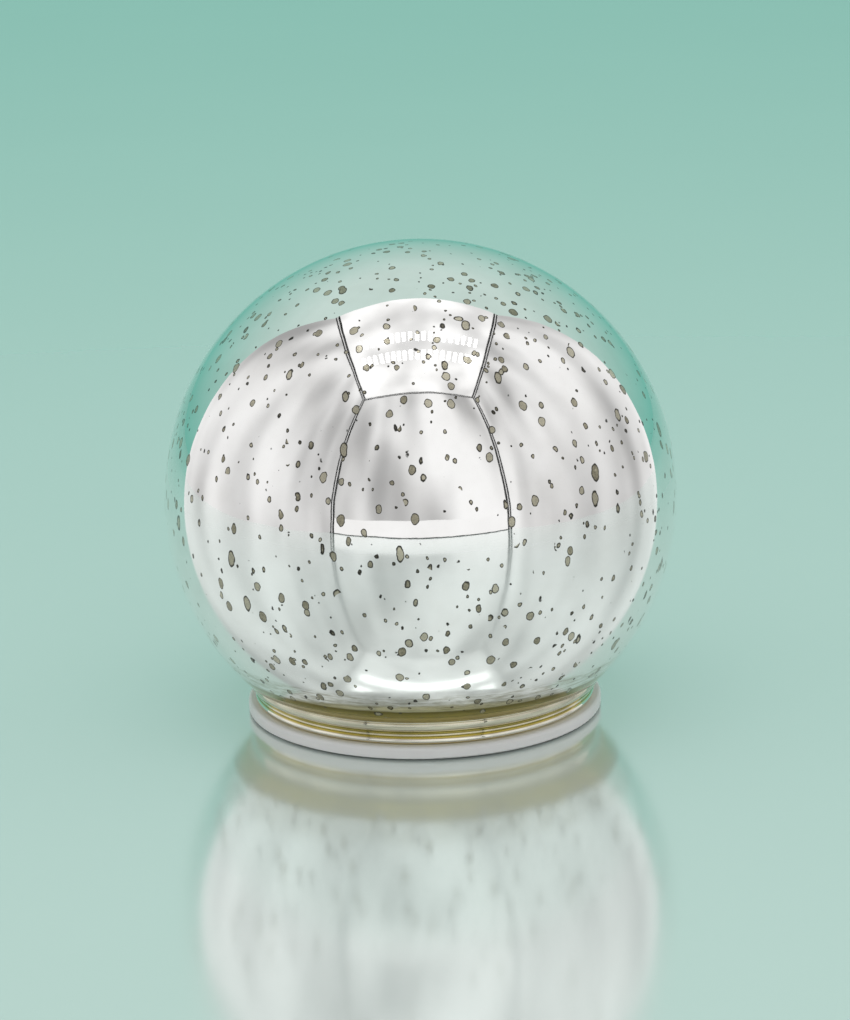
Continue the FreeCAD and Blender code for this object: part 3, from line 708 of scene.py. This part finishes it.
def level(name, x, y, z, material):
    """A level panel from its (low, high) pair along X and Y."""
    return plane(name, [(x[0], y[0], z), (x[1], y[0], z), (x[1], y[1], z), (x[0], y[1], z)], material)


def tent_walls():
    side = glow("tent_side", 0.80, fold=0.50)
    front = glow("tent_front", 0.84, fold=0.50)
    roof = glow("tent_roof", 1.05, fold=0.25)
    x, near, far, top = TENT_X, TENT_FRONT, TENT_BACK, TENT_TOP
    return [
        upright("tent_left", (-x, near), (-x, far), 0, top, side),
        upright("tent_right", (x, near), (x, far), 0, top, side),
        upright("tent_front", (-x, near), (x, near), 0, top, front),
        level("tent_roof", (-x, x), (near, far), top, roof),
        upright("tent_skirt", (-x, near + 0.002), (x, near + 0.002), 0, SKIRT, glow("tent_skirt", 1.0)),
    ]


def tent_seams():
    """Dark tape with a pale piping down its middle, where two panels meet."""
    cloth = dark_cloth("seam_cloth")
    piping = glow("seam_piping", 0.8)
    near = TENT_FRONT + SEAM_INSET
    top = TENT_TOP - SEAM_INSET
    wall = TENT_X - SEAM_INSET
    strips = ((0.0, 0.7, cloth), (0.7, 1.1, piping), (1.1, 2.0, cloth))
    made = []
    for start, end, material in strips:
        outer, inner = wall - start * SEAM, wall - end * SEAM
        for sx in (-1, 1):
            made.append(upright("seam_upright", (sx * outer, near), (sx * inner, near), 0, top, material))
            sides = sorted((sx * outer, sx * inner))
            made.append(level("seam_roof_side", sides, (TENT_FRONT, TENT_BACK), top, material))
        low, high = top - end * SEAM, top - start * SEAM
        made.append(upright("seam_roof_front", (-TENT_X, near), (TENT_X, near), low, high, material))
    made.append(upright("seam_foot", (-TENT_X, near), (TENT_X, near), 0, 0.2 * SEAM, cloth))
    return made


def lamp_bars():
    """Two rows of bright bars under the tent's roof."""
    bright = glow("lamp_bar", 5.0)
    half_x, half_y = LAMP_HALF
    made = []
    for y in LAMP_ROWS:
        for k in range(-LAMPS_EACH_SIDE, LAMPS_EACH_SIDE + 1):
            x = LAMP_PITCH * k
            spans = (x - half_x, x + half_x), (y - half_y, y + half_y)
            made.append(level("lamp_bar", *spans, TENT_TOP - LAMP_DROP, bright))
    return made


def build_stage():
    reach = (-FLOOR_REACH, FLOOR_REACH)
    level("floor", reach, reach, 0, floor_material())
    for panel in tent_walls() + tent_seams() + lamp_bars():
        only_in_reflections(panel)


def build_world():
    world = bpy.data.worlds.new("studio")
    bpy.context.scene.world = world
    world.use_nodes = True
    tree = world.node_tree
    background = tree.nodes["Background"]
    place = tree.nodes.new("ShaderNodeTexCoord")
    split = tree.nodes.new("ShaderNodeSeparateXYZ")
    tree.links.new(place.outputs["Generated"], split.inputs[0])
    ramp = tree.nodes.new("ShaderNodeValToRGB")
    ramp.color_ramp.elements[0].position = 0.0
    ramp.color_ramp.elements[0].color = (0.22, 0.60, 0.50, 1)
    ramp.color_ramp.elements[1].position = 0.75
    ramp.color_ramp.elements[1].color = (0.74, 0.92, 0.86, 1)
    tree.links.new(split.outputs["Z"], ramp.inputs["Fac"])
    tree.links.new(ramp.outputs["Color"], background.inputs["Color"])
    background.inputs["Strength"].default_value = 0.8


def build_camera():
    camera = bpy.data.objects.new("camera", bpy.data.cameras.new("camera"))
    bpy.context.scene.collection.objects.link(camera)
    camera.data.lens = CAMERA_LENS
    camera.data.sensor_width = 36
    camera.data.clip_start = 0.01
    back = Vector((0, -math.cos(CAMERA_ELEVATION), math.sin(CAMERA_ELEVATION)))
    centre = Vector((0, 0, BALL_Z))
    camera.location = centre + back * CAMERA_DISTANCE
    up = Vector((0, math.sin(CAMERA_ELEVATION), math.cos(CAMERA_ELEVATION)))
    aim = centre + Vector((AIM_RIGHT, 0, 0)) + up * AIM_UP
    turn = (aim - camera.location).to_track_quat("-Z", "Y")
    camera.rotation_mode = "QUATERNION"
    camera.rotation_quaternion = turn @ Matrix.Rotation(CAMERA_ROLL, 3, "Z").to_quaternion()
    bpy.context.scene.camera = camera


build_stage()
build_world()
build_camera()
bpy.context.scene.view_settings.view_transform = "Standard"
